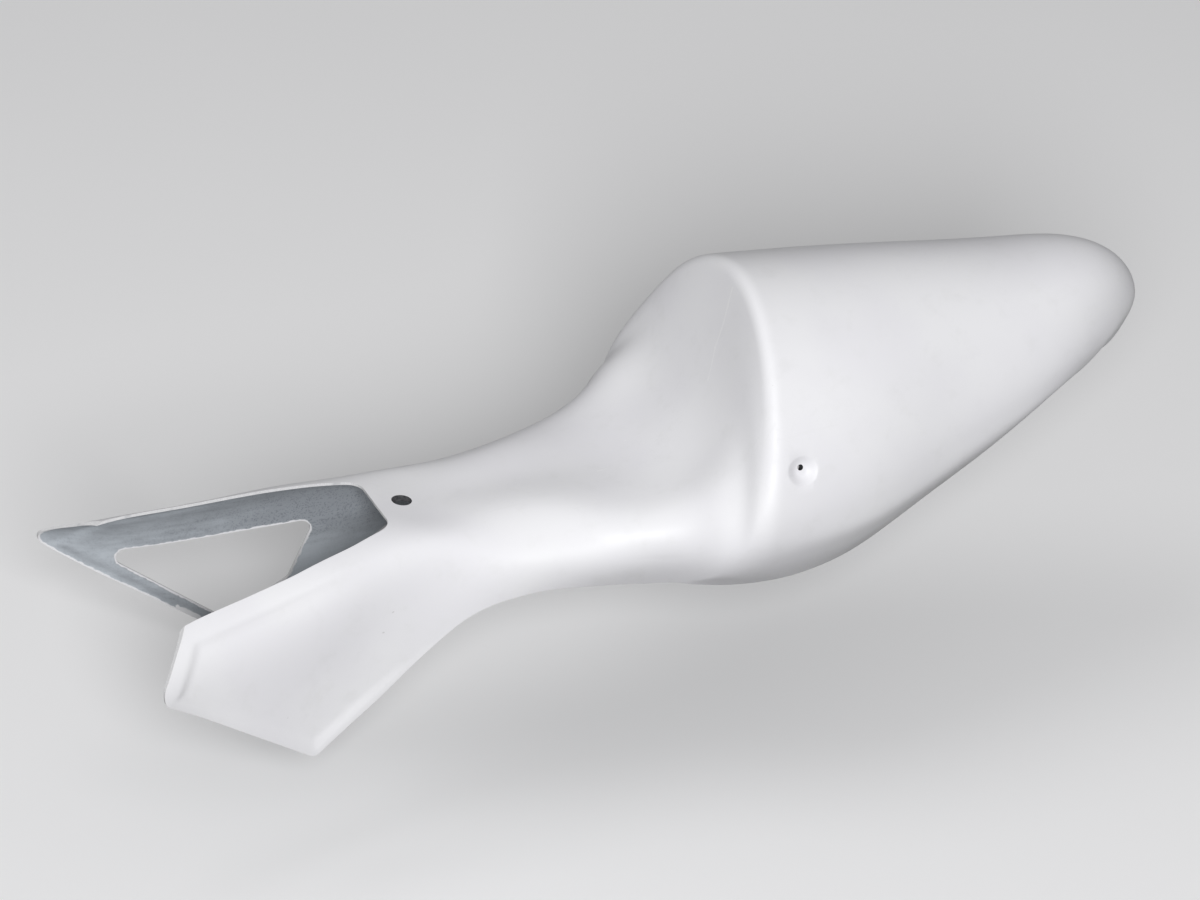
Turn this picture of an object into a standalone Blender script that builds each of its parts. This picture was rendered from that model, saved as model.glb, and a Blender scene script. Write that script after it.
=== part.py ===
# One-piece moulded race seat and tail for a motorcycle, in metres.
# +X points to the front of the motorcycle, +Y to its left and +Z up.
# The origin is the centre of the bolt hole, on the seat's outer surface.
import math

import bmesh
import bpy
import numpy as np
from mathutils import Matrix, Vector

NODE = "tail_fairing"

# Laminate
WALL = 0.003

# Main sizes: the hump from its rim to the tail's end, and the width over the rim
HUMP_LENGTH = 0.380
RIM_WIDTH = 0.326

# Half sections of the outer skin, front to back, in millimetres from the middle of the
# notch's rear edge: centre line, top edge, shoulder, flank and lower edge.
MM = 0.001
DRAWN_HUMP_LENGTH = 0.380
DRAWN_RIM_WIDTH = 0.326
NOTCH_TO_ORIGIN = Vector((0.031, 0, 0.005))
WING_SECTIONS = (
    ((222, 0, -19), (222, 92, -20), (238, 118, -33), (251, 134, -44), (270, 158, -60)),
    ((204, 0, -15), (204, 88, -17), (219, 112, -31), (231, 127, -42), (250, 150, -58)),
    ((150, 0, -10), (150, 77, -13), (153, 98, -25), (158, 114, -78), (166, 130, -136)),
    ((95, 0, -6), (95, 65, -8), (100, 88, -20), (97, 100, -92), (94, 114, -186)),
    ((45, 0, -2), (45, 48, -3), (50, 77, -14), (52, 90, -76), (55, 99, -160)),
    ((5, 0, -1), (5, 31, -1), (8, 66, -10), (10, 82, -58), (12, 89, -134)),
)
SEAT_SECTIONS = (
    ((-40, 0, -6), (-40, 31, -6), (-38, 61, -11), (-38, 78, -44), (-37, 85, -100)),
    ((-85, 0, -7), (-85, 35, -7), (-85, 63, -13), (-85, 82, -38), (-85, 86, -82)),
    ((-160, 0, -8), (-160, 45, -8), (-165, 75, -14), (-172, 98, -41), (-175, 93, -75)),
    ((-235, 0, -8), (-236, 58, -7), (-240, 101, -7), (-250, 127, -40), (-252, 119, -76)),
    ((-280, 0, 17), (-278, 64, 15), (-272, 112, 8), (-267, 143, -35), (-265, 130, -76)),
    ((-308, 0, 60), (-304, 68, 52), (-295, 114, 30), (-280, 151, -30), (-274, 136, -75)),
    ((-326, 0, 110), (-320, 71, 92), (-308, 118, 54), (-288, 157, -27), (-281, 140, -74)),
)
RIM_SECTION = ((-339, 0, 149), (-331, 81, 119), (-320, 126, 71), (-297, 163, -26), (-288, 143, -73))
HUMP_SECTIONS = (
    ((-430, 0, 135), (-425, 74, 111), (-415, 118, 70), (-399, 150, -26), (-392, 132, -65)),
    ((-520, 0, 121), (-515, 60, 103), (-505, 97, 68), (-483, 126, -12), (-475, 110, -44)),
    ((-620, 0, 105), (-615, 45, 94), (-602, 76, 67), (-571, 99, 4), (-560, 86, -20)),
    ((-690, 0, 90), (-683, 33, 82), (-665, 57, 61), (-628, 75, 16), (-610, 68, -4)),
    ((-713, 0, 71), (-706, 26, 66), (-688, 46, 52), (-652, 61, 21), (-633, 60, 6)),
    ((-719, 0, 48), (-714, 20, 46), (-699, 37, 41), (-675, 49, 30), (-647, 56, 13)),
    ((-711, 0, 28), (-708, 17, 27), (-696, 32, 26), (-675, 44, 23), (-655, 52, 18)),
)

# How far the rounding of the rim reaches, at the centre line and at the lower edge
RIM_REACH_TOP = 0.012
RIM_REACH_LOW = 0.045
RIM_REACH_GROWTH = 3

# Notch for the tank, in plan: distance ahead of its rear edge and half width there
NOTCH_REAR = (-0.002, 0.0345)
NOTCH_MIDDLE = (0.095, 0.0685)
NOTCH_FRONT = (0.206, 0.0907)
NOTCH_ROUND = 0.018
NOTCH_MIDDLE_ROUND = 0.300

# Outline of the wings in side view, from just above the top edge round to the seat's edge
TRIM_START = (0.100, -0.001)
WING_TOP = (0.1967, -0.0124)
WING_TIP = (0.2450, -0.0545)
WING_TIP_HALF_WIDTH = 0.141
WING_LOW = (0.0945, -0.1668)
WING_MIDDLE = (0.030, -0.1345)
WING_ROOT = (-0.066, -0.0720)
SIDE_EDGE = (-0.125, -0.0665)
TRIM_END = (-0.220, -0.0785)
WING_TOP_ROUND = 0.040
WING_TIP_ROUND = 0.010
WING_LOW_ROUND = 0.009
WING_MIDDLE_ROUND = 0.300
WING_ROOT_ROUND = 0.120
SIDE_EDGE_ROUND = 0.150
PAST_EDGE = 0.1

# Raised border along the top and front edges of a wing
BORDER_HEIGHT = 0.0030
BORDER_WIDTH = 0.014
BORDER_RAMP = 0.008
BORDER_START = 0.030
BORDER_FULL = 0.120

# Window in the right wing only: corners in side view
WINDOW = ((0.2005, -0.0708), (0.018, -0.0590), (0.038, -0.116), (0.094, -0.1525))
WINDOW_ROUND = 0.009

# Bolt hole of the seat and the built-up land under it
BOLT_HOLE_RADIUS = 0.00875
LAND_RADIUS = 0.020
LAND_DEPTH = 0.006

# Recesses for the side fixings of the hump
RECESS_BACK = 0.337
RECESS_HEIGHT = 0.032
RECESS_RADIUS = 0.0135
RECESS_FLOOR_RADIUS = 0.0095
RECESS_DEPTH = 0.0048
RECESS_HOLE_RADIUS = 0.0026
RECESS_HOLE_RISE = 0.003

# Fineness of the faceted skin
ROW_STEP = 0.016
RIM_ROWS = 4
WING_FRONT_SHARES = (0.14, 0.27, 0.5, 0.75, 1.0)
COLUMN_SHARES = (
    (0.25, 0.5, 0.75, 1.0),
    (0.2, 0.42, 0.68, 1.0),
    (0.25, 0.5, 0.75, 1.0),
    (0.25, 0.5, 0.75, 1.0),
)
FINE_STEPS = 40
CORNER_STEPS = 5
ROUND_SEGMENTS = 32


def curve_through(points, at, keys):
    # Natural cubic curve through the points, whose places along the curve are the keys.
    h = np.diff(keys)
    slope = np.diff(points, axis=0) / h[:, None]
    count = len(keys)
    left = np.eye(count)
    right = np.zeros_like(points)
    for i in range(1, count - 1):
        left[i, i - 1:i + 2] = (h[i - 1], 2 * (h[i - 1] + h[i]), h[i])
        right[i] = 6 * (slope[i] - slope[i - 1])
    bend = np.linalg.solve(left, right)
    i = np.clip(np.searchsorted(keys, at, side="right") - 1, 0, count - 2)
    gap = h[i][:, None]
    a = ((keys[i + 1] - at) / h[i])[:, None]
    b = 1 - a
    straight = a * points[i] + b * points[i + 1]
    return straight + ((a**3 - a) * bend[i] + (b**3 - b) * bend[i + 1]) * gap**2 / 6


def chord_keys(points):
    return np.concatenate(([0.0], np.cumsum(np.linalg.norm(np.diff(points, axis=0), axis=1))))


def section_row(section):
    # Points across the whole section, from the right lower edge to the left one.
    half = np.array(section, float) * MM
    rim = np.array(RIM_SECTION, float) * MM
    longer = HUMP_LENGTH / DRAWN_HUMP_LENGTH
    behind = half[:, 0] < rim[:, 0]
    half[behind, 0] = rim[behind, 0] + (half[behind, 0] - rim[behind, 0]) * longer
    half[:, 1] *= RIM_WIDTH / DRAWN_RIM_WIDTH
    half += np.array(NOTCH_TO_ORIGIN)
    whole = np.concatenate((half[:0:-1] * (1, -1, 1), half))
    keys = chord_keys(whole)
    middle = len(half) - 1
    at = [keys[middle]]
    for i, shares in enumerate(COLUMN_SHARES):
        start = keys[middle + i]
        at.extend(start + (keys[middle + i + 1] - start) * s for s in shares)
    left = curve_through(whole, np.array(at), keys)
    return np.concatenate((left[:0:-1] * (1, -1, 1), left))


def lofted(rows, shares_of_gap):
    # Rows of points along smooth curves through the given rows.
    rows = np.array(rows)
    out = []
    for j in range(rows.shape[1]):
        column = rows[:, j]
        keys = chord_keys(column)
        at = [keys[0]]
        for i, shares in enumerate(shares_of_gap):
            at.extend(keys[i] + (keys[i + 1] - keys[i]) * s for s in shares)
        out.append(curve_through(column, np.array(at), keys))
    return np.array(out).transpose(1, 0, 2)


def even_shares(a, b):
    count = max(1, round(float(np.linalg.norm(a - b, axis=1).mean()) / ROW_STEP))
    return tuple((k + 1) / count for k in range(count))


def trimmed_column(column, reach, from_start):
    # The column with the given length taken off one end, its rows spread again.
    keys = chord_keys(column)
    total = keys[-1]
    low, high = (reach, total) if from_start else (0, total - reach)
    at = low + keys / total * (high - low)
    return np.array([np.interp(at, keys, column[:, k]) for k in range(3)]).T


def outer_rows():
    # All rows of the outer skin, front to back, with the rim rounded.
    front = [section_row(s) for s in WING_SECTIONS + SEAT_SECTIONS + (RIM_SECTION,)]
    back = [section_row(s) for s in (RIM_SECTION,) + HUMP_SECTIONS]
    fine = tuple((k + 1) / FINE_STEPS for k in range(FINE_STEPS))
    ahead = lofted(front, [fine] * (len(front) - 1))
    behind = lofted(back, [fine] * (len(back) - 1))
    columns = ahead.shape[1]
    middle = columns // 2
    ahead_out, behind_out, rim = [], [], []
    for j in range(columns):
        share = abs(j - middle) / middle
        reach = RIM_REACH_TOP + (RIM_REACH_LOW - RIM_REACH_TOP) * share**RIM_REACH_GROWTH
        corner = ahead[-1, j]
        ahead_out.append(trimmed_column(ahead[:, j], reach, False))
        behind_out.append(trimmed_column(behind[:, j], reach, True))
        a, b = ahead_out[-1][-1], behind_out[-1][0]
        t = np.arange(1, RIM_ROWS)[:, None] / RIM_ROWS
        rim.append(a * (1 - t)**2 + corner * 2 * t * (1 - t) + b * t**2)
    ahead = np.array(ahead_out).transpose(1, 0, 2)
    behind = np.array(behind_out).transpose(1, 0, 2)
    rim = np.array(rim).transpose(1, 0, 2)
    picks = [0]
    for i, (a, b) in enumerate(zip(front, front[1:])):
        shares = WING_FRONT_SHARES if i == 1 else even_shares(a, b)
        picks.extend(round((i + s) * FINE_STEPS) for s in shares)
    rows = [ahead[k] for k in picks]
    rows.extend(rim)
    rows.append(behind[0])
    for i, (a, b) in enumerate(zip(back, back[1:])):
        rows.extend(behind[round((i + s) * FINE_STEPS)] for s in even_shares(a, b))
    return np.array(rows)


def outward(rows):
    along = np.gradient(rows, axis=0)
    across = np.gradient(rows, axis=1)
    normal = np.cross(across, along)
    return normal / np.linalg.norm(normal, axis=2, keepdims=True)


def ease(t):
    t = min(max(t, 0.0), 1.0)
    return t * t * (3 - 2 * t)


def line_distance(p, a, b):
    t = np.dot(p - a, b - a) / np.dot(b - a, b - a)
    return float(np.linalg.norm(p - a - (b - a) * t))


def raise_border(rows):
    # Lifts the skin along the top and front edges of both wings.
    o = np.array(NOTCH_TO_ORIGIN)
    start = np.array((*NOTCH_MIDDLE, WING_SECTIONS[3][1][2] * MM)) + o
    top = np.array((*NOTCH_FRONT, WING_SECTIONS[1][1][2] * MM)) + o
    tip = np.array((WING_TIP[0], WING_TIP_HALF_WIDTH, WING_TIP[1])) + o
    normals = outward(rows)
    lifted = rows.copy()
    for i in range(rows.shape[0]):
        for j in range(rows.shape[1]):
            p = rows[i, j] * (1, -1, 1) if rows[i, j, 1] < 0 else rows[i, j]
            if p[0] < BORDER_START:
                continue
            near = min(line_distance(p, start, top), line_distance(p, top, tip))
            height = ease((BORDER_WIDTH + BORDER_RAMP - near) / BORDER_RAMP)
            fade = ease((p[0] - BORDER_START) / (BORDER_FULL - BORDER_START))
            lifted[i, j] += normals[i, j] * BORDER_HEIGHT * height * fade
    return lifted


def rounded(points, radii):
    # Closed outline with each corner rounded to its radius; zero leaves it sharp.
    out = []
    count = len(points)
    for i, (corner, radius) in enumerate(zip(points, radii)):
        if radius == 0:
            out.append(corner)
            continue
        a = (points[i - 1] - corner).normalized()
        b = (points[(i + 1) % count] - corner).normalized()
        half = a.angle(b) / 2
        centre = corner + (a + b).normalized() * (radius / math.sin(half))
        start = corner + a * (radius / math.tan(half)) - centre
        end = corner + b * (radius / math.tan(half)) - centre
        turn = start.angle(end)
        for k in range(CORNER_STEPS + 1):
            t = k / CORNER_STEPS
            mix = start * math.sin((1 - t) * turn) + end * math.sin(t * turn)
            out.append(centre + mix / math.sin(turn))
    return out


def plan_notch():
    # The notch in plan view, open to the front.
    o = NOTCH_TO_ORIGIN
    ahead = PAST_EDGE / (NOTCH_FRONT[0] - NOTCH_MIDDLE[0])
    far = [b + (b - a) * ahead for a, b in zip(NOTCH_MIDDLE, NOTCH_FRONT)]
    left = [NOTCH_REAR, NOTCH_MIDDLE, far]
    points = [Vector((x + o.x, -y, 0)) for x, y in left[::-1]]
    points.extend(Vector((x + o.x, y, 0)) for x, y in left)
    radii = [0, NOTCH_MIDDLE_ROUND, NOTCH_ROUND]
    return rounded(points, radii + radii[::-1])


def side_points(corners):
    o = NOTCH_TO_ORIGIN
    return [Vector((x + o.x, 0, z + o.z)) for x, z in corners]


def wing_outline():
    # Everything around the wings' outline in side view, to be cut away.
    front = WING_TIP[0] + PAST_EDGE
    floor = WING_LOW[1] - PAST_EDGE
    corners = [TRIM_START, WING_TOP, WING_TIP, WING_LOW, WING_MIDDLE, WING_ROOT, SIDE_EDGE, TRIM_END,
               (TRIM_END[0], floor), (front, floor), (front, PAST_EDGE), (TRIM_START[0], PAST_EDGE)]
    radii = [0, WING_TOP_ROUND, WING_TIP_ROUND, WING_LOW_ROUND, WING_MIDDLE_ROUND, WING_ROOT_ROUND,
             SIDE_EDGE_ROUND, 0, 0, 0, 0, 0]
    return rounded(side_points(corners), radii)


def finished(bm, name):
    mesh = bpy.data.meshes.new(name)
    bm.to_mesh(mesh)
    bm.free()
    return mesh


def skin_mesh(rows):
    bm = bmesh.new()
    grid = [[bm.verts.new(p) for p in row] for row in rows]
    for near, far in zip(grid, grid[1:]):
        for j in range(len(near) - 1):
            bm.faces.new((near[j], near[j + 1], far[j + 1], far[j]))
    return finished(bm, NODE)


def surface_at(rows, x, z):
    # Point and outward normal of the left side of the hump at this place in side view.
    middle = rows.shape[1] // 2
    left = rows[:, middle:]
    normals = outward(rows)[:, middle:]
    away = np.hypot(left[:, :, 0] - x, left[:, :, 2] - z)
    i, j = np.unravel_index(np.argmin(away), away.shape)
    point, normal = left[i, j], normals[i, j]
    y = point[1] - (normal[0] * (x - point[0]) + normal[2] * (z - point[2])) / normal[1]
    return Vector((x, y, z)), Vector(normal)


def cutter(name, mesh):
    obj = bpy.data.objects.new(name, mesh)
    bpy.context.scene.collection.objects.link(obj)
    obj.hide_render = True
    obj.display_type = "WIRE"
    return obj


def cone(name, centre, axis, low_radius, high_radius, start, end):
    # A cone or cylinder along the axis, from start to end as measured from the centre.
    bm = bmesh.new()
    turn = axis.to_track_quat("Z", "Y").to_matrix().to_4x4()
    place = Matrix.Translation(centre + axis * (start + end) / 2) @ turn
    bmesh.ops.create_cone(bm, cap_ends=True, segments=ROUND_SEGMENTS, radius1=low_radius,
                          radius2=high_radius, depth=end - start, matrix=place)
    return cutter(name, finished(bm, name))


def prism(name, outline, start, path):
    # The outline moved to its start and then swept along the path.
    bm = bmesh.new()
    face = bm.faces.new([bm.verts.new(p + Vector(start)) for p in outline])
    grown = bmesh.ops.extrude_face_region(bm, geom=[face])
    moved = [v for v in grown["geom"] if isinstance(v, bmesh.types.BMVert)]
    bmesh.ops.translate(bm, verts=moved, vec=path)
    bmesh.ops.recalc_face_normals(bm, faces=bm.faces)
    return cutter(name, finished(bm, name))


def boolean(obj, tool, operation):
    step = obj.modifiers.new(tool.name, "BOOLEAN")
    step.operation = operation
    step.solver = "EXACT"
    step.object = tool


def gel_coat():
    material = bpy.data.materials.new("white_gel_coat")
    material.use_nodes = True
    shader = material.node_tree.nodes["Principled BSDF"]
    shader.inputs["Base Color"].default_value = (0.84, 0.84, 0.85, 1)
    shader.inputs["Roughness"].default_value = 0.38
    shader.inputs["Metallic"].default_value = 0.0
    return material


def cut_outline(shell):
    far = 2 * PAST_EDGE
    window = rounded(side_points(WINDOW), [WINDOW_ROUND] * len(WINDOW))
    boolean(shell, prism("notch", plan_notch(), (0, 0, -far), (0, 0, 2 * far)), "DIFFERENCE")
    boolean(shell, prism("outline", wing_outline(), (0, -far, 0), (0, 2 * far, 0)), "DIFFERENCE")
    boolean(shell, prism("window", window, (0, -far, 0), (0, far, 0)), "DIFFERENCE")


def add_land(shell, rows):
    # Built-up land under the bolt hole, with a flat face below, and the hole through it.
    centre = Vector((0, 0, 0))
    up = Vector((0, 0, 1))
    land = cone("land", centre, up, LAND_RADIUS, LAND_RADIUS, -LAND_DEPTH, 0)
    seat = rows[::-1, rows.shape[1] // 2]
    for vertex in land.data.vertices:
        if vertex.co.z > -LAND_DEPTH / 2:
            vertex.co.z = np.interp(vertex.co.x, seat[:, 0], seat[:, 2]) - WALL / 2
    hole = cone("bolt_hole", centre, up, BOLT_HOLE_RADIUS, BOLT_HOLE_RADIUS, -4 * WALL, 4 * WALL)
    boolean(shell, land, "UNION")
    boolean(shell, hole, "DIFFERENCE")


def add_recess(shell, side, centre, axis):
    # A dish sunk into the hump's side, backed by the laminate, with a hole in its floor.
    slope = (RECESS_RADIUS - RECESS_FLOOR_RADIUS) / RECESS_DEPTH
    plug = cone(side + "_plug", centre, axis, RECESS_FLOOR_RADIUS + WALL, RECESS_RADIUS + WALL,
                -RECESS_DEPTH - WALL, -WALL / 2)
    dish = cone(side + "_dish", centre, axis, RECESS_FLOOR_RADIUS, RECESS_RADIUS + slope * WALL,
                -RECESS_DEPTH, WALL)
    up = (Vector((0, 0, 1)) - axis * axis.z).normalized()
    hole = cone(side + "_hole", centre + up * RECESS_HOLE_RISE, axis, RECESS_HOLE_RADIUS,
                RECESS_HOLE_RADIUS, -RECESS_DEPTH - 2 * WALL, 0)
    boolean(shell, plug, "UNION")
    boolean(shell, dish, "DIFFERENCE")
    boolean(shell, hole, "DIFFERENCE")


def main():
    for obj in list(bpy.data.objects):
        bpy.data.objects.remove(obj)
    rows = outer_rows()
    shell = bpy.data.objects.new(NODE, skin_mesh(raise_border(rows)))
    bpy.context.scene.collection.objects.link(shell)
    shell.data.materials.append(gel_coat())
    thick = shell.modifiers.new("laminate", "SOLIDIFY")
    thick.thickness = WALL
    thick.offset = -1
    thick.use_even_offset = True
    cut_outline(shell)
    add_land(shell, rows)
    o = NOTCH_TO_ORIGIN
    place, normal = surface_at(rows, -RECESS_BACK + o.x, RECESS_HEIGHT + o.z)
    for side, flip in (("left", 1), ("right", -1)):
        add_recess(shell, side, Vector((place.x, flip * place.y, place.z)),
                   Vector((normal.x, flip * normal.y, normal.z)))
    shell.data.shade_smooth()


main()
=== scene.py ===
import math

import bmesh
import bpy
import numpy as np
from mathutils import Matrix, Vector
from mathutils.bvhtree import BVHTree


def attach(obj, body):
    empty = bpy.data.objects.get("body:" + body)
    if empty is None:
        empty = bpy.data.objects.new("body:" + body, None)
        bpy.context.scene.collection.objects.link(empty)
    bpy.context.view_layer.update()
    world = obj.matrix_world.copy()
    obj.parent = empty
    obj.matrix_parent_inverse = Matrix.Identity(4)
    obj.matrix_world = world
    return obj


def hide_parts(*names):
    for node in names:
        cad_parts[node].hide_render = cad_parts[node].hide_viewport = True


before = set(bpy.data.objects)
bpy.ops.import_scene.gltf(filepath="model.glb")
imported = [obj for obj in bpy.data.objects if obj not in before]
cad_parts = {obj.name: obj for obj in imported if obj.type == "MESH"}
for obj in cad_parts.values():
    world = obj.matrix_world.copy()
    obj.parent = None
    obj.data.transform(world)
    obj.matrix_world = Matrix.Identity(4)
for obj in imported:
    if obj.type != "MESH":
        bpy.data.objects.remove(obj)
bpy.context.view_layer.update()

print("frame loaded")

# Half sections of the outer skin in millimetres from the middle of the notch's rear edge:
# centre line, top edge, shoulder, flank and lower edge, front to back.
wingSections = [
    [(222, 0, -25), (222, 94, -26), (238, 119, -35), (253, 146, -53), (262, 142, -100)],
    [(204, 0, -19), (204, 90, -21.5), (219, 112, -33), (235, 137, -53), (246, 136, -102)],
    [(150, 0, -12), (150, 77, -15), (153, 96, -29), (158, 114, -78), (166, 122, -136)],
    [(95, 0, -8), (95, 65, -10), (100, 86, -24), (97, 100, -92), (94, 108, -186)],
    [(45, 0, -3), (45, 48, -4), (50, 75, -16), (52, 90, -76), (55, 97, -160)],
    [(5, 0, -1), (5, 31, -1), (8, 65, -11), (10, 82, -58), (12, 89, -134)],
]
seatSections = [
    [(-40, 0, -6), (-40, 31, -6), (-38, 61, -11), (-38, 78, -44), (-37, 85, -100)],
    [(-85, 0, -7), (-85, 38, -7), (-85, 66, -17), (-85, 82, -38), (-85, 86, -82)],
    [(-160, 0, -8), (-161, 56, -8), (-166, 85, -22), (-172, 99, -43), (-175, 89, -79)],
    [(-235, 0, -8), (-237, 70, -7), (-242, 113, -16), (-250, 128, -43), (-252, 112, -80)],
    [(-280, 0, 17), (-278, 70, 14), (-271, 116, 6), (-266, 143, -36), (-264, 121, -80)],
    [(-308, 0, 60), (-304, 70, 51), (-295, 116, 28), (-278, 151, -30), (-272, 125, -81)],
    [(-326, 0, 110), (-319, 71, 92), (-308, 118, 54), (-286, 157, -27), (-279, 129, -82)],
]
rimSection = [(-339, 0, 149), (-330, 81, 119), (-318, 124, 69), (-294, 161, -30), (-286, 128, -85)]
humpSections = [
    [(-430, 0, 135), (-425, 74, 111), (-415, 118, 70), (-399, 150, -30), (-389, 116, -84)],
    [(-520, 0, 121), (-515, 60, 103), (-505, 97, 68), (-483, 126, -16), (-472, 94, -63)],
    [(-620, 0, 105), (-615, 45, 94), (-602, 76, 67), (-571, 99, 4), (-558, 72, -33)],
    [(-690, 0, 89), (-683, 33, 81), (-665, 57, 61), (-628, 75, 16), (-610, 55, -10)],
    [(-712, 0, 69), (-705, 26, 64), (-688, 46, 51), (-652, 62, 19), (-633, 54, 2)],
    [(-719, 0, 48), (-714, 20, 46), (-699, 37, 41), (-675, 51, 28), (-647, 56, 12)],
    [(-711, 0, 28), (-708, 17, 27), (-696, 32, 26), (-675, 46, 20), (-655, 52, 16)],
]

# What a user would change on the skin, in metres. Places are measured from the notch.
skin = {
    "notchToOrigin": (0.031, 0, 0.005),
    "wall": 0.0026,
    "rowStep": 0.0036,
    "stepsAcross": (8, 9, 15, 20),
    "crowding": (1, 1, 1.6, 1.25),
    "fineSteps": 60,
    "rimReachTop": 0.011,
    "rimReachLow": 0.052,
    "rimReachGrowth": 6,
    "rimRows": 9,
    "kneeReach": {-430: 0.021, -520: 0.025, -620: 0.022, -690: 0.013},
    "kneePull": 0.92,
    "kneeLead": 0.004,
}
wing = {
    "left": {"top": (0.1993, -0.0175), "tip": (0.2437, -0.0515), "low": (0.0945, -0.1668), "topRound": 0.010},
    "right": {"top": (0.1967, -0.0124), "tip": (0.2530, -0.0548), "low": (0.0945, -0.1688), "topRound": 0.040},
    "tipHalfWidth": 0.145,
    "middle": (0.030, -0.1345),
    "root": (-0.066, -0.0720),
    "sideEdge": (-0.125, -0.0665),
    "trimStart": (0.100, -0.001),
    "trimEnd": (-0.240, -0.0840),
    "rounds": (0.010, 0.009, 0.300, 0.120, 0.150),
    "borderHeight": 0.0027,
    "borderWidth": 0.0135,
    "borderRamp": 0.0085,
    "borderFrom": 0.030,
    "borderFull": 0.110,
    "lipHeight": 0.0024,
    "lipWidth": 0.0045,
    "lipRamp": 0.0075,
    "lipFrom": -0.02,
}
openings = {
    "notchRear": (-0.0065, 0.0375),
    "notchSide": (0.035, 0.0530),
    "notchMiddle": (0.095, 0.0685),
    "notchFront": (0.206, 0.0907),
    "notchRounds": (0, 0.300, 0.200, 0.017),
    "window": ((0.2005, -0.0705), (0.0165, -0.0572), (0.040, -0.116), (0.094, -0.1525)),
    "windowRound": 0.009,
    "pastEdge": 0.1,
    "cornerSteps": 12,
}
fixings = {
    "boltHoleRadius": 0.00875,
    "landRadius": 0.020,
    "landDepth": 0.006,
    "recessBack": 0.337,
    "recessHeight": 0.032,
    "recessRadius": 0.0135,
    "floorRadius": 0.0095,
    "recessDepth": 0.0048,
    "bossDepth": 0.0085,
    "holeRadius": 0.0026,
    "holeRise": 0.003,
    "dishSoftness": 0.0016,
    "dishSteps": 16,
    "dishFlatShare": 0.3,
    "dishSlope": 1.25,
    "brimRise": 0.0004,
    "segments": 72,
}
notchOrigin = Vector(skin["notchToOrigin"])


def naturalCurve(points, at, keys):
    # natural cubic curve through the points, read at the given lengths
    gaps = np.diff(keys)
    slopes = np.diff(points, axis=0) / gaps[:, None]
    count = len(keys)
    left = np.eye(count)
    right = np.zeros_like(points)
    for i in range(1, count - 1):
        left[i, i - 1:i + 2] = (gaps[i - 1], 2 * (gaps[i - 1] + gaps[i]), gaps[i])
        right[i] = 6 * (slopes[i] - slopes[i - 1])
    bend = np.linalg.solve(left, right)
    i = np.clip(np.searchsorted(keys, at, side="right") - 1, 0, count - 2)
    a = ((keys[i + 1] - at) / gaps[i])[:, None]
    b = 1 - a
    curve = (a**3 - a) * bend[i] + (b**3 - b) * bend[i + 1]
    return a * points[i] + b * points[i + 1] + curve * gaps[i][:, None]**2 / 6


def lengthKeys(points):
    return np.concatenate(([0.0], np.cumsum(np.linalg.norm(np.diff(points, axis=0), axis=1))))


def tightened(row, flank, reach):
    # draws the soft bend at the flank into a knee, along the lines that lead up to it
    keys = lengthKeys(row)
    low, high = keys[flank] - reach, keys[flank] + reach
    point = lambda at: np.array([np.interp(at, keys, row[:, k]) for k in range(3)])
    a, b = point(low), point(high)
    u, v = a - point(low - skin["kneeLead"]), b - point(high + skin["kneeLead"])
    # where the two lines pass closest
    s = np.linalg.lstsq(np.array([u, -v]).T, b - a, rcond=None)[0]
    knee = (a + s[0] * u + b + s[1] * v) / 2
    c, d = a + (knee - a) * skin["kneePull"], b + (knee - b) * skin["kneePull"]
    for i, key in enumerate(keys):
        if low < key < high:
            t = (key - low) / (2 * reach)
            row[i] = (1 - t)**3 * a + 3 * (1 - t)**2 * t * c + 3 * (1 - t) * t * t * d + t**3 * b
    return row


def sectionRow(section):
    half = np.array(section, float) / 1000 + np.array(notchOrigin)
    whole = np.concatenate((half[:0:-1] * (1, -1, 1), half))
    keys = lengthKeys(whole)
    middle = len(half) - 1
    at = [keys[middle]]
    for i, (steps, crowd) in enumerate(zip(skin["stepsAcross"], skin["crowding"])):
        start, end = keys[middle + i], keys[middle + i + 1]
        share = np.arange(1, steps + 1) / steps  # steps lie closer together near the flank
        share = share**crowd if i == 3 else 1 - (1 - share)**crowd
        at.extend(start + (end - start) * share)
    left = naturalCurve(whole, np.array(at), keys)
    reach = skin["kneeReach"].get(section[0][0])
    if reach:
        left = tightened(left, sum(skin["stepsAcross"][:3]), reach)
    return np.concatenate((left[:0:-1] * (1, -1, 1), left))


def loftedColumns(rows):
    # fine points along a smooth curve through each column of the section rows
    rows = np.array(rows)
    share = np.arange(1, skin["fineSteps"] + 1) / skin["fineSteps"]
    columns = []
    for j in range(rows.shape[1]):
        keys = lengthKeys(rows[:, j])
        at = [keys[:1]] + [a + (b - a) * share for a, b in zip(keys, keys[1:])]
        columns.append(naturalCurve(rows[:, j], np.concatenate(at), keys))
    return np.array(columns)


def shortened(column, reach, atStart):
    keys = lengthKeys(column)
    low, high = (reach, keys[-1]) if atStart else (0, keys[-1] - reach)
    at = low + keys / keys[-1] * (high - low)
    return np.array([np.interp(at, keys, column[:, k]) for k in range(3)]).T


def pickedRows(columns, sections):
    # rows about one step apart, from the fine columns
    fine = skin["fineSteps"]
    picks = [0]
    for i, (a, b) in enumerate(zip(sections, sections[1:])):
        gap = float(np.linalg.norm(a - b, axis=1).mean())
        count = max(2, min(fine, round(gap / skin["rowStep"])))
        picks.extend(round((i + (k + 1) / count) * fine) for k in range(count))
    return columns[:, picks].transpose(1, 0, 2)


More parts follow.
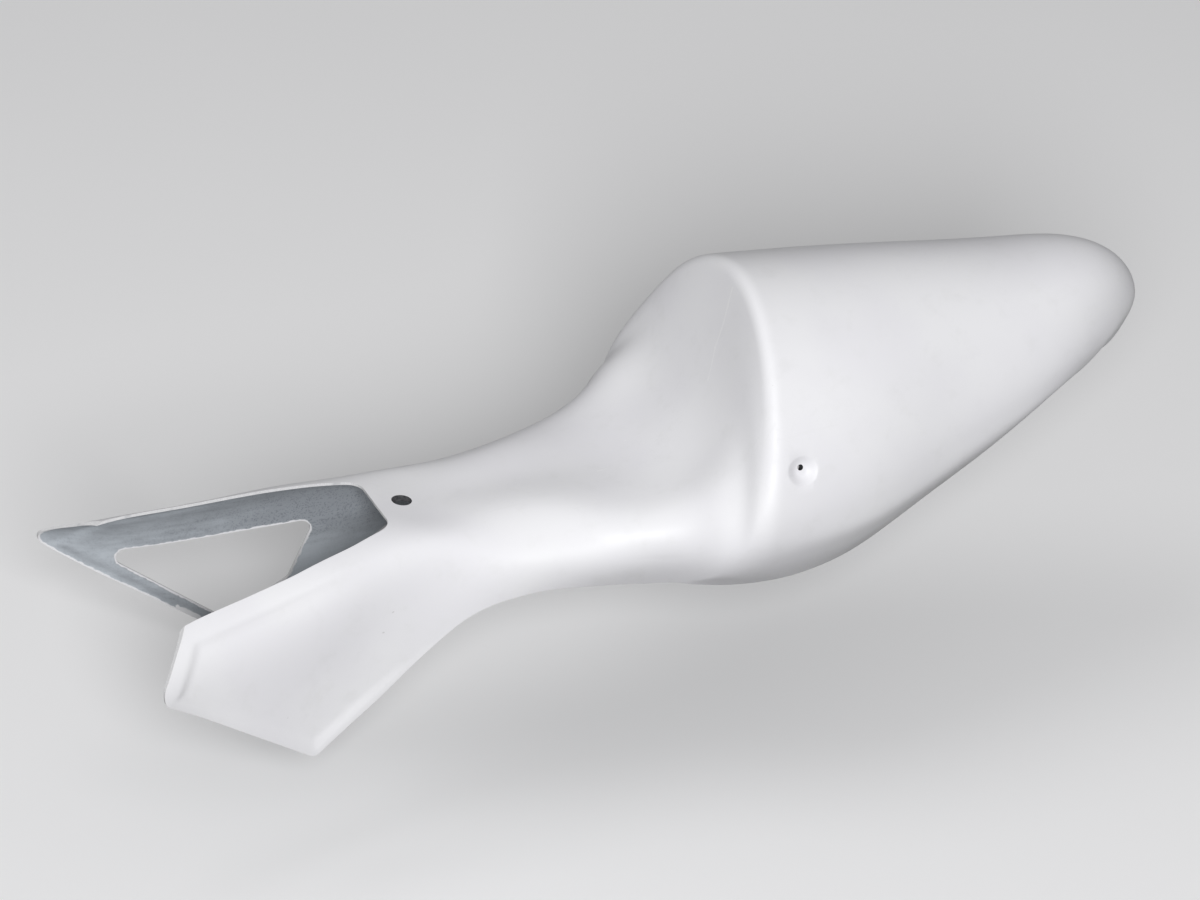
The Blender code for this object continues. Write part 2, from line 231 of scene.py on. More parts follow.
def skinRows():
    ahead = [sectionRow(s) for s in wingSections + seatSections + [rimSection]]
    behind = [sectionRow(s) for s in [rimSection] + humpSections]
    aheadColumns, behindColumns = loftedColumns(ahead), loftedColumns(behind)
    middle = len(aheadColumns) // 2
    t = (np.arange(1, skin["rimRows"]) / skin["rimRows"])[:, None]
    rim = []
    for j in range(len(aheadColumns)):
        share = (abs(j - middle) / middle)**skin["rimReachGrowth"]
        reach = skin["rimReachTop"] + (skin["rimReachLow"] - skin["rimReachTop"]) * share
        corner = aheadColumns[j, -1].copy()
        aheadColumns[j] = shortened(aheadColumns[j], reach, False)
        behindColumns[j] = shortened(behindColumns[j], reach, True)
        a, b = aheadColumns[j, -1], behindColumns[j, 0]
        rim.append(a * (1 - t)**2 + corner * 2 * t * (1 - t) + b * t**2)
    rim = np.array(rim).transpose(1, 0, 2)
    return np.concatenate((pickedRows(aheadColumns, ahead), rim, pickedRows(behindColumns, behind)))


def outwardNormals(rows):
    normal = np.cross(np.gradient(rows, axis=1), np.gradient(rows, axis=0))
    return normal / np.linalg.norm(normal, axis=2, keepdims=True)


def eased(t):
    t = np.clip(t, 0, 1)
    return t * t * (3 - 2 * t)


def distanceToLine(points, a, b):
    along = (b - a) / np.linalg.norm(b - a)
    away = points - a
    return np.linalg.norm(away - (away @ along)[..., None] * along, axis=-1)


def lowerEdgeAway(points, side):
    # distance, seen from the side, to the wing's two lower edges
    corners = {**wing, **wing[side]}
    flat = points[..., (0, 2)]
    tip, low, middle = (np.array(corners[k]) + np.array(notchOrigin)[[0, 2]] for k in ("tip", "low", "middle"))
    return np.minimum(distanceToLine(flat, tip, low), distanceToLine(flat, low, middle))


def wingEdges(rows):
    # lifts a border along the wing's top and front edges and a narrow lip along its lower edges
    w, o = wing, np.array(notchOrigin)
    side = rows * np.where(rows[..., 1:2] < 0, (1, -1, 1), (1, 1, 1))
    start = np.array((*openings["notchMiddle"], wingSections[3][1][2] / 1000)) + o
    top = np.array((*openings["notchFront"], wingSections[1][1][2] / 1000)) + o
    tip = np.array((w["left"]["tip"][0], w["tipHalfWidth"], w["left"]["tip"][1])) + o
    near = np.minimum(distanceToLine(side, start, top), distanceToLine(side, top, tip))
    lift = eased((w["borderWidth"] + w["borderRamp"] - near) / w["borderRamp"])
    fade = eased((side[..., 0] - w["borderFrom"]) / (w["borderFull"] - w["borderFrom"]))
    edge = np.where(rows[..., 1] < 0, lowerEdgeAway(side, "right"), lowerEdgeAway(side, "left"))
    lip = eased((w["lipWidth"] + w["lipRamp"] - edge) / w["lipRamp"])
    lip = lip * eased((side[..., 0] - w["lipFrom"]) / (w["borderFull"] - w["lipFrom"]))
    height = np.maximum(w["borderHeight"] * lift * fade, w["lipHeight"] * lip)
    return rows + outwardNormals(rows) * height[..., None]


def roundedOutline(points, radii):
    outline = []
    for i, (corner, radius) in enumerate(zip(points, radii)):
        if radius == 0:
            outline.append(corner)
            continue
        a = (points[i - 1] - corner).normalized()
        b = (points[(i + 1) % len(points)] - corner).normalized()
        half = a.angle(b) / 2
        centre = corner + (a + b).normalized() * (radius / math.sin(half))
        start = corner + a * (radius / math.tan(half)) - centre
        end = corner + b * (radius / math.tan(half)) - centre
        turn = start.angle(end)
        for k in range(openings["cornerSteps"] + 1):
            t = k / openings["cornerSteps"]
            mix = start * math.sin((1 - t) * turn) + end * math.sin(t * turn)
            outline.append(centre + mix / math.sin(turn))
    return outline


def notchOutline():
    rear, side, middle, front = (openings["notch" + k] for k in ("Rear", "Side", "Middle", "Front"))
    ahead = openings["pastEdge"] / (front[0] - middle[0])
    far = [b + (b - a) * ahead for a, b in zip(middle, front)]
    left = [far, middle, side, rear]
    points = [Vector((x + notchOrigin.x, -y, 0)) for x, y in left]
    points += [Vector((x + notchOrigin.x, y, 0)) for x, y in left[::-1]]
    radii = openings["notchRounds"]
    return roundedOutline(points, radii + radii[::-1])


def sideOutline(corners):
    return [Vector((x + notchOrigin.x, 0, z + notchOrigin.z)) for x, z in corners]


def wingOutline(side):
    far = openings["pastEdge"]
    named = {**wing, **wing[side]}
    front, floor = named["tip"][0] + far, named["low"][1] - far
    corners = [named[k] for k in ("trimStart", "top", "tip", "low", "middle", "root", "sideEdge", "trimEnd")]
    corners += [(named["trimEnd"][0], floor), (front, floor), (front, far), (named["trimStart"][0], far)]
    return roundedOutline(sideOutline(corners), (0, named["topRound"]) + wing["rounds"] + (0,) * 5)


def meshFrom(bm, name):
    mesh = bpy.data.meshes.new(name)
    bm.to_mesh(mesh)
    bm.free()
    return mesh


def gridMesh(rows, name):
    bm = bmesh.new()
    grid = [[bm.verts.new(p) for p in row] for row in rows]
    for near, far in zip(grid, grid[1:]):
        for j in range(len(near) - 1):
            bm.faces.new((near[j], near[j + 1], far[j + 1], far[j]))
    return meshFrom(bm, name)


def linked(name, mesh):
    obj = bpy.data.objects.new(name, mesh)
    bpy.context.scene.collection.objects.link(obj)
    return obj


def turnedCone(name, centre, axis, lowRadius, highRadius, start, end):
    bm = bmesh.new()
    turn = axis.to_track_quat("Z", "Y").to_matrix().to_4x4()
    place = Matrix.Translation(centre + axis * (start + end) / 2) @ turn
    bmesh.ops.create_cone(bm, cap_ends=True, segments=fixings["segments"], radius1=lowRadius,
                          radius2=highRadius, depth=end - start, matrix=place)
    return linked(name, meshFrom(bm, name))


def turnedProfile(name, centre, axis, rings):
    # a closed turned body through rings of (radius, height)
    bm = bmesh.new()
    turn = axis.to_track_quat("Z", "Y").to_matrix()
    count = fixings["segments"]
    loops = []
    for radius, height in rings:
        ring = [(radius * math.cos(a), radius * math.sin(a), height) for a in
                (math.tau * k / count for k in range(count))]
        loops.append([bm.verts.new(centre + turn @ Vector(p)) for p in ring])
    for low, high in zip(loops, loops[1:]):
        for k in range(count):
            bm.faces.new((low[k], low[(k + 1) % count], high[(k + 1) % count], high[k]))
    bm.faces.new(loops[0][::-1])
    bm.faces.new(loops[-1])
    return linked(name, meshFrom(bm, name))


def dishRings():
    # flat floor, rounded bowl and soft brim of a recess, from the middle outwards
    f = fixings
    floor, brim, depth = f["floorRadius"], f["recessRadius"], f["recessDepth"]
    soft, flat = f["dishSoftness"], floor * f["dishFlatShare"]
    rings = []
    for k in range(f["dishSteps"] + 1):
        t = k / f["dishSteps"]
        rings.append((flat + (brim + soft - flat) * t, -depth * (1 - eased(t)**f["dishSlope"])))
    rings.append((brim + 1.6 * soft, f["brimRise"]))
    rings.append((brim + 1.8 * soft, skin["wall"]))
    return rings


def sweptPrism(name, outline, start, path):
    bm = bmesh.new()
    face = bm.faces.new([bm.verts.new(p + Vector(start)) for p in outline])
    grown = bmesh.ops.extrude_face_region(bm, geom=[face])
    moved = [v for v in grown["geom"] if isinstance(v, bmesh.types.BMVert)]
    bmesh.ops.translate(bm, verts=moved, vec=path)
    bmesh.ops.recalc_face_normals(bm, faces=bm.faces)
    return linked(name, meshFrom(bm, name))


def surfaceAt(rows, x, z):
    # place and outward normal on the hump's left side
    left = rows[:, rows.shape[1] // 2:]
    normals = outwardNormals(rows)[:, rows.shape[1] // 2:]
    away = np.hypot(left[..., 0] - x, left[..., 2] - z)
    i, j = np.unravel_index(np.argmin(away), away.shape)
    point, normal = left[i, j], normals[i, j]
    y = point[1] - (normal[0] * (x - point[0]) + normal[2] * (z - point[2])) / normal[1]
    return Vector((x, y, z)), Vector(normal)


def landUnder(rows):
    # the laminate's build-up under the bolt hole, its top inside the seat's wall
    depth = fixings["landDepth"]
    land = turnedCone("land", Vector((0, 0, 0)), Vector((0, 0, 1)), fixings["landRadius"],
                      fixings["landRadius"], -depth, 0)
    seat = rows[::-1, rows.shape[1] // 2]
    for vertex in land.data.vertices:
        if vertex.co.z > -depth / 2:
            vertex.co.z = np.interp(vertex.co.x, seat[:, 0], seat[:, 2]) - skin["wall"] / 2
    return land


def addSolid(shell, tool, operation, slotIndex):
    # joins or cuts with the tool, whose faces keep the material of that slot
    for polygon in tool.data.polygons:
        polygon.material_index = slotIndex
    step = shell.modifiers.new(tool.name, "BOOLEAN")
    step.operation = operation
    step.solver = "EXACT"
    step.object = tool
    tool.hide_render = True
    tool.hide_viewport = True
    return tool


def buildShell():
    rows = skinRows()
    shell = linked("laminate", gridMesh(wingEdges(rows), "laminate"))
    for name in ("gelCoat", "rawFibre", "cutEdge", "shadedHoleWall"):
        shell.data.materials.append(bpy.data.materials[name])
    coat, raw, edge, drilled = range(4)
    thick = shell.modifiers.new("wall", "SOLIDIFY")
    thick.thickness = skin["wall"]
    thick.offset = -1
    thick.use_even_offset = True
    thick.material_offset = raw
    thick.material_offset_rim = edge
    far = 2 * openings["pastEdge"]
    window = roundedOutline(sideOutline(openings["window"]), [openings["windowRound"]] * 4)
    up = Vector((0, 0, 1))
    zero, across = Vector((0, 0, 0)), Vector((0, far, 0))
    f, wall = fixings, skin["wall"]
    tools = [
        addSolid(shell, sweptPrism("notch", notchOutline(), (0, 0, -far), (0, 0, 2 * far)), "DIFFERENCE", edge),
        addSolid(shell, sweptPrism("leftOutline", wingOutline("left"), zero, across), "DIFFERENCE", edge),
        addSolid(shell, sweptPrism("rightOutline", wingOutline("right"), -across, across), "DIFFERENCE", edge),
        addSolid(shell, sweptPrism("window", window, -across, across), "DIFFERENCE", edge),
        addSolid(shell, landUnder(rows), "UNION", raw),
        addSolid(shell, turnedCone("boltHole", zero, up, f["boltHoleRadius"], f["boltHoleRadius"],
                                   -4 * wall, 4 * wall), "DIFFERENCE", drilled),
    ]
    place, normal = surfaceAt(rows, notchOrigin.x - f["recessBack"], notchOrigin.z + f["recessHeight"])
    depth, boss = f["recessDepth"], f["bossDepth"]
    for side, flip in (("left", 1), ("right", -1)):
        centre = Vector((place.x, flip * place.y, place.z))
        axis = Vector((normal.x, flip * normal.y, normal.z))
        rise = (up - axis * axis.z).normalized() * f["holeRise"]
        tools += [
            addSolid(shell, turnedCone(side + "Plug", centre, axis, f["floorRadius"] + wall,
                                       f["recessRadius"] + wall, -depth - boss, -wall / 2), "UNION", raw),
            addSolid(shell, turnedProfile(side + "Dish", centre, axis, dishRings()), "DIFFERENCE", coat),
            addSolid(shell, turnedCone(side + "Hole", centre + rise, axis, f["holeRadius"], f["holeRadius"],
                                       -depth - 2 * boss, 0), "DIFFERENCE", drilled),
        ]
    bpy.context.view_layer.update()
    done = bpy.data.meshes.new_from_object(shell.evaluated_get(bpy.context.evaluated_depsgraph_get()))
    shell.modifiers.clear()
    shell.data = done
    for tool in tools:
        bpy.data.objects.remove(tool)
    return shell


def smoothShading(obj, sharpAngle):
    mesh = obj.data
    mesh.polygons.foreach_set("use_smooth", [True] * len(mesh.polygons))
    mesh.set_sharp_from_angle(angle=math.radians(sharpAngle))


def keepEdgeDistance(obj):
    # each vertex keeps how far the nearest trimmed edge lies, for the materials
    mesh = obj.data
    cut = [list(p.vertices) for p in mesh.polygons if mesh.materials[p.material_index].name == "cutEdge"]
    edges = BVHTree.FromPolygons([v.co for v in mesh.vertices], cut)
    away = mesh.attributes.new("edgeAway", "FLOAT", "POINT")
    away.data.foreach_set("value", [edges.find_nearest(v.co)[3] for v in mesh.vertices])


def feed(tree, socket, value):
    # a socket takes another socket's output or a plain value
    if isinstance(value, bpy.types.NodeSocket):
        tree.links.new(value, socket)
    else:
        socket.default_value = value


def calc(tree, operation, *values):
    node = tree.nodes.new("ShaderNodeMath")
    node.operation = operation
    for socket, value in zip(node.inputs, values):
        feed(tree, socket, value)
    return node.outputs[0]


def vectorCalc(tree, operation, *values):
    node = tree.nodes.new("ShaderNodeVectorMath")
    node.operation = operation
    for socket, value in zip(node.inputs, values):
        feed(tree, socket, value)
    return node.outputs["Value" if operation in ("LENGTH", "DOT_PRODUCT") else "Vector"]


def noise(tree, vector, scale, detail=2.0, roughness=0.5):
    node = tree.nodes.new("ShaderNodeTexNoise")
    feed(tree, node.inputs["Vector"], vector)
    feed(tree, node.inputs["Scale"], scale)
    node.inputs["Detail"].default_value = detail
    node.inputs["Roughness"].default_value = roughness
    return node.outputs["Fac"]


def mapped(tree, vector, scale=(1, 1, 1), rotation=(0, 0, 0), location=(0, 0, 0)):
    # turns the pattern first and then stretches it
    node = tree.nodes.new("ShaderNodeMapping")
    node.vector_type = "TEXTURE"
    feed(tree, node.inputs["Vector"], vector)
    node.inputs["Scale"].default_value = scale
    node.inputs["Rotation"].default_value = rotation
    node.inputs["Location"].default_value = location
    return node.outputs["Vector"]


def ranged(tree, value, low, high, toLow=0.0, toHigh=1.0, kind="SMOOTHSTEP"):
    node = tree.nodes.new("ShaderNodeMapRange")
    node.interpolation_type = kind
    for socket, item in zip(node.inputs, (value, low, high, toLow, toHigh)):
        feed(tree, socket, item)
    return node.outputs[0]


def mixed(tree, share, a, b):
    node = tree.nodes.new("ShaderNodeMix")
    node.data_type = "RGBA"
    feed(tree, node.inputs["Factor"], share)
    feed(tree, [s for s in node.inputs if s.name == "A" and s.type == "RGBA"][0], a)
    feed(tree, [s for s in node.inputs if s.name == "B" and s.type == "RGBA"][0], b)
    return [s for s in node.outputs if s.type == "RGBA"][0]


def largest(tree, values):
    out = values[0]
    for value in values[1:]:
        out = calc(tree, "MAXIMUM", out, value)
    return out


def newGroup(name, inputs, outputs):
    tree = bpy.data.node_groups.new(name, "ShaderNodeTree")
    for label, kind, value in inputs:
        socket = tree.interface.new_socket(name=label, in_out="INPUT", socket_type="NodeSocket" + kind)
        socket.default_value = value
    for label in outputs:
        tree.interface.new_socket(name=label, in_out="OUTPUT", socket_type="NodeSocketFloat")
    return tree, tree.nodes.new("NodeGroupInput").outputs, tree.nodes.new("NodeGroupOutput").inputs


def useGroup(tree, group, **values):
    node = tree.nodes.new("ShaderNodeGroup")
    node.node_tree = group
    for label, value in values.items():
        feed(tree, node.inputs[label], value)
    return node.outputs


def buildStrandGroup():
    # short straight strands of glass lying in six directions, or scratches where they are few
    tree, given, out = newGroup("strands", [("Vector", "Vector", (0, 0, 0)), ("Frequency", "Float", 30.0),
                                            ("Threshold", "Float", 0.6)], ["Strand"])
    turns = [(0, 0, 0), (0, 0.9, 0.2), (0, -0.8, -0.3), (0.3, 0.4, 0.9), (0.2, -0.3, -1.0), (0.5, 1.4, 0.1)]
    upper = calc(tree, "ADD", given["Threshold"], 0.07)
    layers = []
    for k, turn in enumerate(turns):
        place = mapped(tree, given["Vector"], (1, 0.045, 0.045), turn, (0.37 * k, 0.61 * k, 0.83 * k))
        layers.append(ranged(tree, noise(tree, place, given["Frequency"], 0.0), given["Threshold"], upper))
    feed(tree, out["Strand"], largest(tree, layers))
    return tree


def buildMarkGroup():
    # one mark along the line from start to end, with an uneven width
    tree, given, out = newGroup("mark", [("Vector", "Vector", (0, 0, 0)), ("Start", "Vector", (0, 0, 0)),
                                         ("End", "Vector", (0, 0, 0)), ("Width", "Float", 0.001)], ["Mark"])
    along = vectorCalc(tree, "SUBTRACT", given["End"], given["Start"])
    away = vectorCalc(tree, "SUBTRACT", given["Vector"], given["Start"])
    share = calc(tree, "DIVIDE", vectorCalc(tree, "DOT_PRODUCT", away, along),
                 vectorCalc(tree, "DOT_PRODUCT", along, along))
    share = ranged(tree, share, 0.0, 1.0, kind="LINEAR")
    step = tree.nodes.new("ShaderNodeVectorMath")
    step.operation = "SCALE"
    feed(tree, step.inputs[0], along)
    feed(tree, step.inputs["Scale"], share)
    gap = vectorCalc(tree, "LENGTH", vectorCalc(tree, "SUBTRACT", away, step.outputs["Vector"]))
    uneven = ranged(tree, noise(tree, given["Vector"], 160.0), 0.3, 0.7, 0.5, 1.3)
    width = calc(tree, "MULTIPLY", given["Width"], uneven)
    feed(tree, out["Mark"], ranged(tree, calc(tree, "DIVIDE", gap, width), 1.0, 0.45))
    return tree


def buildSpeckGroup():
    # small round specks, in a share of the cells
    tree, given, out = newGroup("specks", [("Vector", "Vector", (0, 0, 0)), ("Frequency", "Float", 40.0),
                                           ("Share", "Float", 0.2), ("Radius", "Float", 0.04)], ["Speck"])
    cells = tree.nodes.new("ShaderNodeTexVoronoi")
    feed(tree, cells.inputs["Vector"], given["Vector"])
    feed(tree, cells.inputs["Scale"], given["Frequency"])
    near = ranged(tree, calc(tree, "DIVIDE", cells.outputs["Distance"], given["Radius"]), 1.0, 0.4)
    apart = tree.nodes.new("ShaderNodeSeparateColor")
    feed(tree, apart.inputs["Color"], cells.outputs["Color"])
    chosen = calc(tree, "LESS_THAN", apart.outputs["Red"], given["Share"])
    feed(tree, out["Speck"], calc(tree, "MULTIPLY", near, chosen))
    return tree


gelCoat = {
    "white": (0.800, 0.800, 0.822, 1),
    "coolWhite": (0.778, 0.775, 0.805, 1),
    "dull": (0.70, 0.70, 0.71, 1),
    "paleLineWhite": (0.90, 0.90, 0.91, 1),
    "speck": (0.30, 0.29, 0.28, 1),
    "roughness": (0.47, 0.61),
    "waveHeight": 0.00022,
    "peelHeight": 0.0000035,
    # the backrest's lines are a painted highlight along its centre crease; the seat's lines are faint lighter
    # lines
    "paleLines": [  # faint lines on the backrest and the seat: start, end, width
        ((-0.3035, 0.0057, 0.1406), (-0.2936, 0.0101, 0.1108), 0.0014),
        ((-0.2936, 0.0101, 0.1108), (-0.2857, 0.0100, 0.0877), 0.0015),
        ((-0.2857, 0.0100, 0.0877), (-0.2754, 0.0179, 0.0622), 0.0012),
        ((-0.2099, 0.0137, -0.0007), (-0.1743, 0.0151, -0.0060), 0.0011),
        ((-0.2304, -0.0075, 0.0087), (-0.2122, -0.0129, 0.0000), 0.0009),
    ],
    "dots": [
        ((0.0414, 0.0821, -0.0527), (0.0424, 0.0823, -0.0531), 0.0013),
        ((0.0518, 0.0848, -0.0692), (0.0525, 0.0850, -0.0690), 0.0010),
        ((0.1477, 0.1075, -0.1155), (0.1485, 0.1077, -0.1160), 0.0012),
        ((-0.2956, 0.1007, 0.0998), (-0.2970, 0.1030, 0.0992), 0.0009),
    ],
}
rawFibre = {
    "dark": (0.205, 0.222, 0.248, 1),
    "light": (0.560, 0.605, 0.655, 1),
    "strand": (0.60, 0.64, 0.68, 1),
    "roughness": (0.40, 0.62),
    "strandHeight": 0.00002,
    "cloudHeight": 0.00015,
    "rimOfWhite": 0.0021,
    "smears": [  # white gel coat carried over the edge, and a flake on the lower strut
        ((0.1530, -0.1025, -0.0606), (0.1385, -0.0995, -0.0598), 0.0016),
        ((0.1640, -0.1130, -0.1330), (0.1460, -0.1095, -0.1455), 0.0030),
    ],
}
cutEdge = {
    "white": (0.775, 0.775, 0.785, 1),
    "grey": (0.47, 0.48, 0.50, 1),
    "roughness": (0.48, 0.70),
    "grainHeight": 0.00004,
}
# painted shade: near-black walls for the holes, standing in for the shade inside them
shadedHoleWall = {
    "dark": (0.030, 0.030, 0.034, 1),
    "lighterShade": (0.085, 0.085, 0.090, 1),
    "roughness": (0.55, 0.80),
    "grainHeight": 0.00003,
}


def newMaterial(name):
    material = bpy.data.materials.new(name)
    material.use_nodes = True
    tree = material.node_tree
    place = tree.nodes.new("ShaderNodeTexCoord").outputs["Object"]
    return tree, place, tree.nodes["Principled BSDF"].inputs


def bump(tree, shader, height):
    node = tree.nodes.new("ShaderNodeBump")
    node.inputs["Strength"].default_value = 1.0
    node.inputs["Distance"].default_value = 1.0
    feed(tree, node.inputs["Height"], height)
    feed(tree, shader["Normal"], node.outputs["Normal"])


def marks(tree, place, group, lines):
    found = []
    for start, end, width in lines:
        found.append(useGroup(tree, group, Vector=place, Start=start, End=end, Width=width)["Mark"])
    return largest(tree, found)


def buildGelCoat(strands, mark, specks):
    g = gelCoat
    tree, place, shader = newMaterial("gelCoat")
    cloud = noise(tree, place, 8.0, 3.0)
    dust = noise(tree, place, 46.0, 4.0, 0.6)
    scuffs = useGroup(tree, strands, Vector=place, Frequency=14.0, Threshold=0.735)["Strand"]
    scuffs = calc(tree, "MULTIPLY", scuffs, ranged(tree, noise(tree, place, 11.0), 0.55, 0.68))
    tint = mixed(tree, ranged(tree, cloud, 0.38, 0.62), g["coolWhite"], g["white"])
    tint = mixed(tree, ranged(tree, dust, 0.50, 0.78, 0.0, 0.30), tint, g["dull"])
    tint = mixed(tree, calc(tree, "MULTIPLY", scuffs, 0.12), tint, g["dull"])
    # lighter lines; on the backrest they are a painted highlight along the centre crease
    paleLines = marks(tree, place, mark, g["paleLines"])
    tint = mixed(tree, calc(tree, "MULTIPLY", paleLines, 0.45), tint, g["paleLineWhite"])
    few = useGroup(tree, specks, Vector=place, Frequency=42.0, Share=0.10, Radius=0.028)["Speck"]
    spots = calc(tree, "MAXIMUM", calc(tree, "MULTIPLY", few, 0.15),
                 calc(tree, "MULTIPLY", marks(tree, place, mark, g["dots"]), 0.30))
    filed = ranged(tree, calc(tree, "MULTIPLY_ADD", dust, 0.0012, edgeAway(tree)), 0.0022, 0.0008)
    tint = mixed(tree, calc(tree, "MULTIPLY", filed, 0.5), tint, cutEdge["white"])
    feed(tree, shader["Base Color"], mixed(tree, spots, tint, g["speck"]))
    worn = calc(tree, "MULTIPLY", largest(tree, [scuffs, paleLines, filed]), 0.4)
    worn = calc(tree, "MULTIPLY_ADD", dust, 0.7, worn)
    feed(tree, shader["Roughness"], ranged(tree, worn, 0.2, 0.75, *g["roughness"]))
    wave = calc(tree, "MULTIPLY", noise(tree, place, 15.0, 1.0), g["waveHeight"])
    peel = calc(tree, "MULTIPLY", noise(tree, place, 650.0, 2.0), g["peelHeight"])
    cuts = calc(tree, "MULTIPLY", scuffs, -0.000006)
    bump(tree, shader, calc(tree, "ADD", calc(tree, "ADD", wave, peel), cuts))


def edgeAway(tree):
    # how far the nearest trimmed edge lies, kept on the mesh
    node = tree.nodes.new("ShaderNodeAttribute")
    node.attribute_name = "edgeAway"
    return node.outputs["Fac"]


def buildRawFibre(strands, mark):
    r = rawFibre
    tree, place, shader = newMaterial("rawFibre")
    apart = tree.nodes.new("ShaderNodeSeparateXYZ")
    feed(tree, apart.inputs[0], place)
    x, z = apart.outputs[0], apart.outputs[2]
    glass = useGroup(tree, strands, Vector=place, Frequency=34.0, Threshold=0.57)["Strand"]
    cloud = noise(tree, place, 30.0, 5.0, 0.62)
    streaks = noise(tree, mapped(tree, place, (1, 0.14, 0.12), (0, 0.06, -0.12)), 26.0, 3.0, 0.5)
    grain = noise(tree, place, 420.0, 1.0)
    tone = calc(tree, "MULTIPLY", cloud, 0.40)
    tone = calc(tree, "MULTIPLY_ADD", streaks, 0.30, tone)
    tone = calc(tree, "MULTIPLY_ADD", grain, 0.05, tone)
    # darker towards the rear of the wing's inner face and lighter towards its tip: partly the laminate's own
    # tone, partly painted shade on the rear of the inner face
    tone = calc(tree, "ADD", tone, ranged(tree, x, 0.02, 0.26, -0.27, 0.12))
    # painted light: lighter low down towards the rear of the inner face, where the lamps leave it in shade
    paintedLightLow = calc(tree, "MULTIPLY", ranged(tree, z, -0.050, -0.095), ranged(tree, x, 0.13, 0.06))
    tone = ranged(tree, calc(tree, "MULTIPLY_ADD", paintedLightLow, 0.55, tone), 0.10, 0.80)
    tint = mixed(tree, tone, r["dark"], r["light"])
    tint = mixed(tree, calc(tree, "MULTIPLY", glass, 0.20), tint, r["strand"])
    uneven = ranged(tree, noise(tree, place, 160.0), 0.3, 0.7, 0.6, 1.3)
    away = calc(tree, "DIVIDE", edgeAway(tree), uneven)
    overEdge = ranged(tree, away, r["rimOfWhite"], r["rimOfWhite"] * 0.5)
    white = calc(tree, "MAXIMUM", overEdge, marks(tree, place, mark, r["smears"]))
    tint = mixed(tree, white, tint, gelCoat["white"])
    feed(tree, shader["Base Color"], tint)
    feed(tree, shader["Roughness"], ranged(tree, calc(tree, "ADD", tone, glass), 0.0, 1.6, *r["roughness"]))
    height = calc(tree, "MULTIPLY", glass, r["strandHeight"])
    height = calc(tree, "MULTIPLY_ADD", cloud, r["cloudHeight"], height)
    bump(tree, shader, calc(tree, "MULTIPLY_ADD", white, 0.0002, height))


def buildCutEdge(strands):
    c = cutEdge
    tree, place, shader = newMaterial("cutEdge")
    glass = useGroup(tree, strands, Vector=place, Frequency=60.0, Threshold=0.60)["Strand"]
    grain = noise(tree, place, 320.0, 3.0, 0.6)
    bare = calc(tree, "MULTIPLY", ranged(tree, noise(tree, place, 55.0, 3.0), 0.56, 0.68), 0.7)
    shade = calc(tree, "MAXIMUM", bare, calc(tree, "MULTIPLY", glass, 0.3))
    feed(tree, shader["Base Color"], mixed(tree, shade, c["white"], c["grey"]))
    feed(tree, shader["Roughness"], ranged(tree, grain, 0.3, 0.7, *c["roughness"]))
    bump(tree, shader, calc(tree, "MULTIPLY", grain, c["grainHeight"]))


def buildShadedHoleWall():
    # the holes' walls: painted shade, mottled between two near-black greys
    d = shadedHoleWall
    tree, place, shader = newMaterial("shadedHoleWall")
    shadeMottle = noise(tree, place, 380.0, 3.0)
    feed(tree, shader["Base Color"], mixed(tree, ranged(tree, shadeMottle, 0.35, 0.7), d["dark"], d["lighterShade"]))
    feed(tree, shader["Roughness"], ranged(tree, shadeMottle, 0.3, 0.7, *d["roughness"]))
    bump(tree, shader, calc(tree, "MULTIPLY", shadeMottle, d["grainHeight"]))


strandGroup, markGroup, speckGroup = buildStrandGroup(), buildMarkGroup(), buildSpeckGroup()
buildGelCoat(strandGroup, markGroup, speckGroup)
buildRawFibre(strandGroup, markGroup)
buildCutEdge(strandGroup)
buildShadedHoleWall()
print("materials made")
fairing = buildShell()
print("shell:", len(fairing.data.polygons), "faces")
smoothShading(fairing, 32)
keepEdgeDistance(fairing)
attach(fairing, "root")
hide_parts("tail_fairing")

studio = {
    "floorHeight": -0.26,
    "floorSize": 14.0,
    "floorSeen": (0.92, 0.92, 0.93, 1),
    "floorMottle": (0.87, 0.87, 0.88, 1),
    "floorLit": (0.07, 0.07, 0.07, 1),
    "world": 0.27,
    "lightSize": 2.4,
    "lightTarget": (-0.2, 0, 0),
    "lights": {"key": ((2.01, 6.08, 3.59), 462.0), "fill": ((0.9, -0.6, 3.2), 17.0)},
    "cameraTarget": (-0.1832, 0, 0.0045),
    "cameraAzimuth": 23.5,
    "cameraElevation": 32.0,
    "cameraDistance": 6.41,
    "lens": 225,
    "sensor": 36,
}


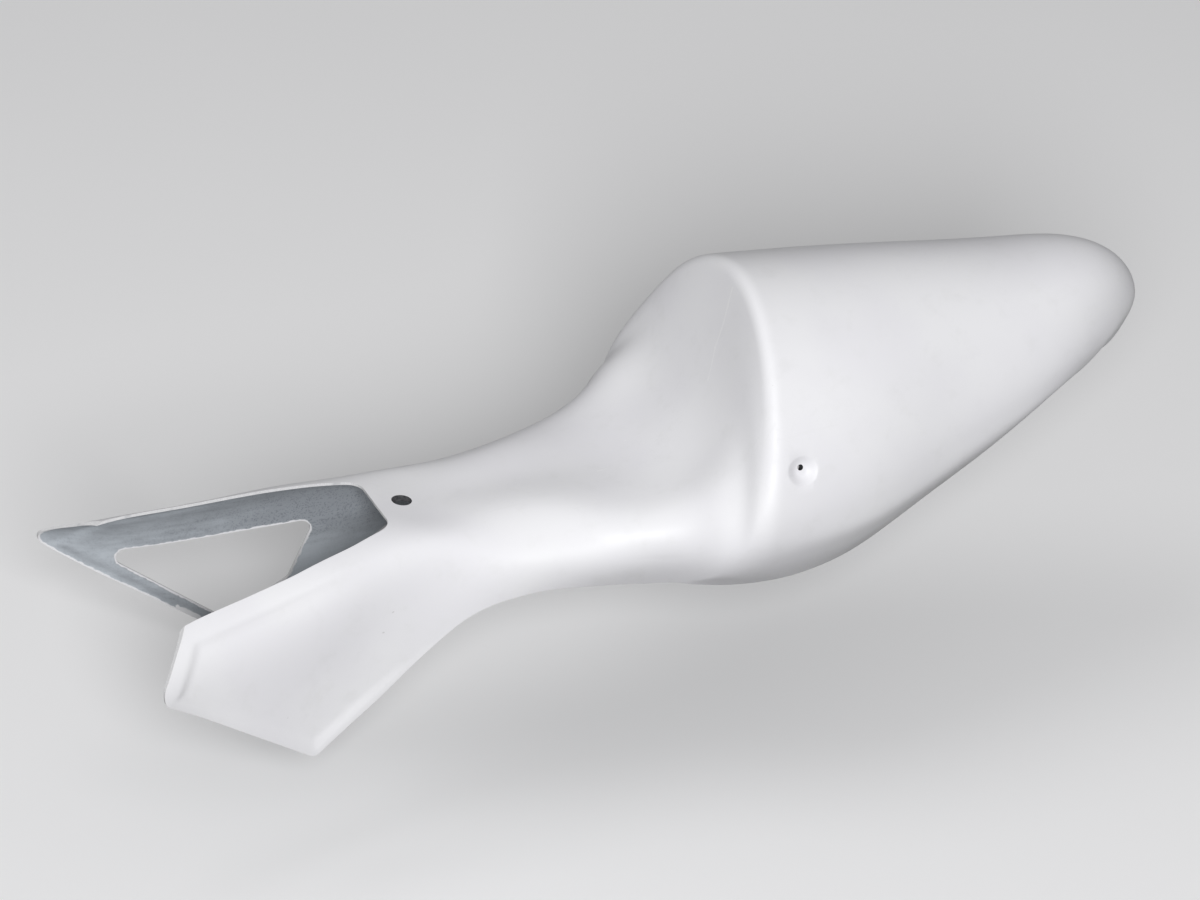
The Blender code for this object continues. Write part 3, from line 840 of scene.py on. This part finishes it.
def buildFloor():
    half = studio["floorSize"] / 2
    bm = bmesh.new()
    corners = [(-half, -half), (half, -half), (half, half), (-half, half)]
    bm.faces.new([bm.verts.new((x, y, studio["floorHeight"])) for x, y in corners])
    floor = linked("floor", meshFrom(bm, "floor"))
    tree, place, shader = newMaterial("paleFloor")
    rays = tree.nodes.new("ShaderNodeLightPath").outputs
    seen = largest(tree, [rays["Is Camera Ray"], rays["Is Glossy Ray"], rays["Is Transmission Ray"]])
    mottle = ranged(tree, noise(tree, place, 3.0, 3.0), 0.3, 0.7, 0.0, 0.12)
    pale = mixed(tree, mottle, studio["floorSeen"], studio["floorMottle"])
    feed(tree, shader["Base Color"], mixed(tree, seen, studio["floorLit"], pale))
    shader["Roughness"].default_value = 0.9
    floor.data.materials.append(bpy.data.materials["paleFloor"])


def buildLights():
    for name, (place, power) in studio["lights"].items():
        light = bpy.data.lights.new(name, "AREA")
        light.shape = "DISK"
        light.size = studio["lightSize"]
        light.energy = power
        obj = linked(name, light)
        obj.location = place
        obj.rotation_euler = (Vector(studio["lightTarget"]) - Vector(place)).to_track_quat("-Z", "Y").to_euler()


def buildCamera():
    # azimuth from the left side (+Y) towards the front (+X)
    turn, rise = math.radians(studio["cameraAzimuth"]), math.radians(studio["cameraElevation"])
    level = math.cos(rise)
    direction = Vector((math.sin(turn) * level, math.cos(turn) * level, math.sin(rise)))
    camera = linked("camera", bpy.data.cameras.new("camera"))
    camera.data.lens = studio["lens"]
    camera.data.sensor_width = studio["sensor"]
    camera.data.clip_end = 100
    camera.location = Vector(studio["cameraTarget"]) + direction * studio["cameraDistance"]
    camera.rotation_euler = (-direction).to_track_quat("-Z", "Y").to_euler()
    bpy.context.scene.camera = camera


def buildWorld():
    world = bpy.data.worlds.new("studio")
    bpy.context.scene.world = world
    world.use_nodes = True
    background = world.node_tree.nodes["Background"]
    background.inputs["Color"].default_value = (1, 1, 1, 1)
    background.inputs["Strength"].default_value = studio["world"]


buildFloor()
buildCamera()
buildWorld()
buildLights()
bpy.context.scene.view_settings.view_transform = "Standard"
print("studio set")
